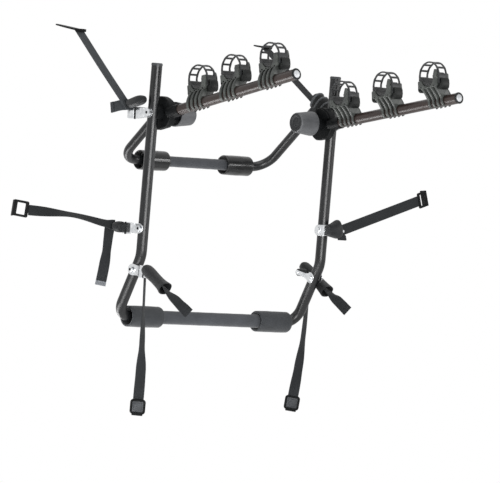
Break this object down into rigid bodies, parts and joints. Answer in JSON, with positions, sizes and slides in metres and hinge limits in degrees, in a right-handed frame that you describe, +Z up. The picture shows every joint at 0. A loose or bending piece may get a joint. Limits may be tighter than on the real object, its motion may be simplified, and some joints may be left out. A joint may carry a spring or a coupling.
{
  "type": "rear bike rack",
  "caption": "Folding strap-on rear bike rack with a padded bent-tube frame, an upper padded frame, two arms with clip-on cradles, clamp knobs and buckled webbing straps.",
  "frame": {"origin": "the middle of the lower crossbar's centre line, where the rack leans on the vehicle", "axes": "+X runs across the vehicle to the right seen from behind, +Y points at the vehicle, +Z is up"},
  "size_m": [1.1782, 0.8016, 0.9358],
  "materials": {
    "black_frame": "semi-gloss black powder coat",
    "black_arm": "semi-gloss brownish black powder coat",
    "foam": "matte charcoal foam",
    "grip": "matte charcoal sleeve",
    "cap": "black plastic",
    "zinc": "bright zinc plate",
    "hub_plastic": "black glass-filled plastic",
    "plug": "grey plastic",
    "knob_plastic": "dark grey plastic",
    "cushion": "soft black rubber",
    "ladder_rubber": "black rubber",
    "cradle_plastic": "dark grey-green plastic",
    "boot_rubber": "dark grey rubber",
    "webbing": "woven black webbing",
    "hook_coat": "black vinyl coat"
  },
  "bodies": {
    "main_frame": {"lower_frame_tube": "black_frame", "leg_end_caps": "cap", "lower_pads": "foam", "lower_grip_sleeve": "grip", "hub_saddles": "black_frame", "bolts_and_rivets": "zinc"},
    "upper_frame": {"upper_frame_tube": "black_frame", "upper_frame_eyes": "black_frame", "upper_pads": "foam", "upper_grip_sleeve": "grip"},
    "left_arm": {"left_arm_tube": "black_arm", "left_arm_hub": "hub_plastic", "left_arm_end_plug": "plug"},
    "left_knob": {"left_knob": "knob_plastic"},
    "left_inner_cradle": {"left_inner_cradle": "cradle_plastic", "left_inner_cradle_cushion": "cushion", "left_inner_ladder_strap": "ladder_rubber"},
    "left_middle_cradle": {"left_middle_cradle": "cradle_plastic", "left_middle_cradle_cushion": "cushion", "left_middle_ladder_strap": "ladder_rubber"},
    "left_outer_cradle": {"left_outer_cradle": "cradle_plastic", "left_outer_cradle_cushion": "cushion", "left_outer_ladder_strap": "ladder_rubber"},
    "right_arm": {"right_arm_tube": "black_arm", "right_arm_hub": "hub_plastic", "right_arm_end_plug": "plug"},
    "right_knob": {"right_knob": "knob_plastic"},
    "right_inner_cradle": {"right_inner_cradle": "cradle_plastic", "right_inner_cradle_cushion": "cushion", "right_inner_ladder_strap": "ladder_rubber"},
    "right_middle_cradle": {"right_middle_cradle": "cradle_plastic", "right_middle_cradle_cushion": "cushion", "right_middle_ladder_strap": "ladder_rubber"},
    "right_outer_cradle": {"right_outer_cradle": "cradle_plastic", "right_outer_cradle_cushion": "cushion", "right_outer_ladder_strap": "ladder_rubber"},
    "top_left_strap": {"top_left_strap_bracket": "zinc", "top_left_strap_boot": "boot_rubber", "top_left_strap_webbing": "webbing", "top_left_strap_hook": "hook_coat"},
    "top_right_strap": {"top_right_strap_bracket": "zinc", "top_right_strap_boot": "boot_rubber", "top_right_strap_webbing": "webbing", "top_right_strap_hook": "hook_coat"},
    "side_left_strap": {"side_left_strap_bracket": "zinc", "side_left_strap_boot": "boot_rubber", "side_left_strap_webbing": "webbing", "side_left_strap_hook": "hook_coat"},
    "side_right_strap": {"side_right_strap_bracket": "zinc", "side_right_strap_boot": "boot_rubber", "side_right_strap_webbing": "webbing", "side_right_strap_hook": "hook_coat"},
    "bottom_left_strap": {"bottom_left_strap_bracket": "zinc", "bottom_left_strap_boot": "boot_rubber", "bottom_left_strap_webbing": "webbing", "bottom_left_strap_hook": "hook_coat"},
    "bottom_right_strap": {"bottom_right_strap_bracket": "zinc", "bottom_right_strap_boot": "boot_rubber", "bottom_right_strap_webbing": "webbing", "bottom_right_strap_hook": "hook_coat"}
  },
  "joints": [
    {"name": "upper_frame_fold", "type": "hinge", "parent": "main_frame", "child": "upper_frame", "pos_m": [0, -0.131, 0.467], "axis": [1, 0, 0], "range_deg": [-55, 60]},
    {"name": "left_arm_fold", "type": "hinge", "parent": "main_frame", "child": "left_arm", "pos_m": [-0.2503, -0.131, 0.467], "axis": [-1, 0, 0], "range_deg": [-87, 30]},
    {"name": "left_knob_turn", "type": "hinge", "parent": "main_frame", "child": "left_knob", "pos_m": [-0.19, -0.131, 0.467], "axis": [1, 0, 0], "continuous": true},
    {"name": "left_inner_cradle_swivel", "type": "hinge", "parent": "left_arm", "child": "left_inner_cradle", "pos_m": [-0.2503, -0.26034, 0.48068], "axis": [0, -0.9907, 0.1357], "range_deg": [-10, 10]},
    {"name": "left_middle_cradle_swivel", "type": "hinge", "parent": "left_arm", "child": "left_middle_cradle", "pos_m": [-0.2503, -0.37725, 0.49669], "axis": [0, -0.9907, 0.1357], "range_deg": [-10, 10]},
    {"name": "left_outer_cradle_swivel", "type": "hinge", "parent": "left_arm", "child": "left_outer_cradle", "pos_m": [-0.2503, -0.51199, 0.51515], "axis": [0, -0.9907, 0.1357], "range_deg": [-10, 10]},
    {"name": "right_arm_fold", "type": "hinge", "parent": "main_frame", "child": "right_arm", "pos_m": [0.2503, -0.131, 0.467], "axis": [-1, 0, 0], "range_deg": [-84, 30]},
    {"name": "right_knob_turn", "type": "hinge", "parent": "main_frame", "child": "right_knob", "pos_m": [0.19, -0.131, 0.467], "axis": [1, 0, 0], "continuous": true},
    {"name": "right_inner_cradle_swivel", "type": "hinge", "parent": "right_arm", "child": "right_inner_cradle", "pos_m": [0.2503, -0.23101, 0.47086], "axis": [0, 0.9969, -0.0785], "range_deg": [-10, 10]},
    {"name": "right_middle_cradle_swivel", "type": "hinge", "parent": "right_arm", "child": "right_middle_cradle", "pos_m": [0.2503, -0.38054, 0.48263], "axis": [0, 0.9969, -0.0785], "range_deg": [-10, 10]},
    {"name": "right_outer_cradle_swivel", "type": "hinge", "parent": "right_arm", "child": "right_outer_cradle", "pos_m": [0.2503, -0.54105, 0.49526], "axis": [0, 0.9969, -0.0785], "range_deg": [-10, 10]},
    {"name": "top_left_strap_swivel", "type": "hinge", "parent": "main_frame", "child": "top_left_strap", "pos_m": [-0.2921, -0.131, 0.467], "axis": [1, 0, 0], "range_deg": [-12, 12]},
    {"name": "top_right_strap_swivel", "type": "hinge", "parent": "main_frame", "child": "top_right_strap", "pos_m": [0.2921, -0.131, 0.467], "axis": [1, 0, 0], "range_deg": [-12, 12]},
    {"name": "side_left_strap_swivel", "type": "hinge", "parent": "main_frame", "child": "side_left_strap", "pos_m": [-0.2921, -0.09667, 0.199], "axis": [1, 0, 0], "range_deg": [-12, 12]},
    {"name": "side_right_strap_swivel", "type": "hinge", "parent": "main_frame", "child": "side_right_strap", "pos_m": [0.2921, -0.09897, 0.217], "axis": [1, 0, 0], "range_deg": [-12, 12]},
    {"name": "bottom_left_strap_swivel", "type": "hinge", "parent": "main_frame", "child": "bottom_left_strap", "pos_m": [-0.2921, -0.06893, 0.105], "axis": [1, 0, 0], "range_deg": [-12, 12]},
    {"name": "bottom_right_strap_swivel", "type": "hinge", "parent": "main_frame", "child": "bottom_right_strap", "pos_m": [0.2921, -0.06893, 0.105], "axis": [1, 0, 0], "range_deg": [-12, 12]}
  ]
}
